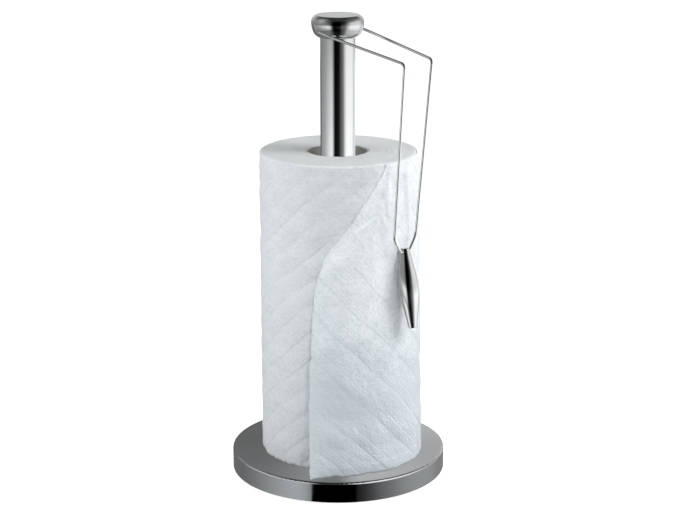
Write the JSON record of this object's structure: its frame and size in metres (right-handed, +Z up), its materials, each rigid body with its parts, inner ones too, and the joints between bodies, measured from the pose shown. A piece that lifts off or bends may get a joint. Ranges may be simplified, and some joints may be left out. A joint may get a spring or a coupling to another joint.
{
  "type": "paper towel holder",
  "caption": "Countertop paper towel holder: weighted round base, steel post with knob, and a hinged wire arm whose weight leans on the towel roll.",
  "frame": {"origin": "middle of the underside, on the worktop, on the post's axis", "axes": "+Z up along the post; +X the way the tension arm reaches out; +Y along the arm's pivot"},
  "size_m": [0.16, 0.16, 0.343],
  "materials": {
    "satin_steel": "satin",
    "cast_iron": "matte",
    "black_rubber": "matte",
    "zinc_steel": "satin",
    "polished_steel": "polished",
    "turned_steel": "satin",
    "polished_knob": "polished",
    "spring_wire": "polished",
    "polished_weight": "polished",
    "core_board": "matte",
    "wound_towels": "matte",
    "towel_sheet": "matte"
  },
  "bodies": {
    "stand": {"base_cover": "satin_steel", "base_ballast": "cast_iron", "base_pad": "black_rubber", "base_screw": "zinc_steel", "spring_washer": "zinc_steel", "flat_washer": "zinc_steel", "post_tube": "polished_steel", "lower_plug": "turned_steel", "upper_plug": "turned_steel", "knob_stud": "turned_steel", "knob": "polished_knob"},
    "arm": {"tension_wire": "spring_wire"},
    "weight": {"tension_weight": "polished_weight"},
    "roll": {"roll_core": "core_board", "paper_roll": "wound_towels", "loose_towel": "towel_sheet"}
  },
  "joints": [
    {"name": "arm_swing", "type": "hinge", "parent": "stand", "child": "arm", "pos_m": [0, 0, 0.3325], "axis": [0, -1, 0], "range_deg": [0, 280]},
    {"name": "weight_swing", "type": "hinge", "parent": "arm", "child": "weight", "pos_m": [0.0654, 0, 0.1788], "axis": [0, -1, 0], "range_deg": [0, 160]},
    {"name": "roll_spin", "type": "hinge", "parent": "stand", "child": "roll", "pos_m": [0, 0, 0.13], "axis": [0, 0, 1], "continuous": true}
  ]
}
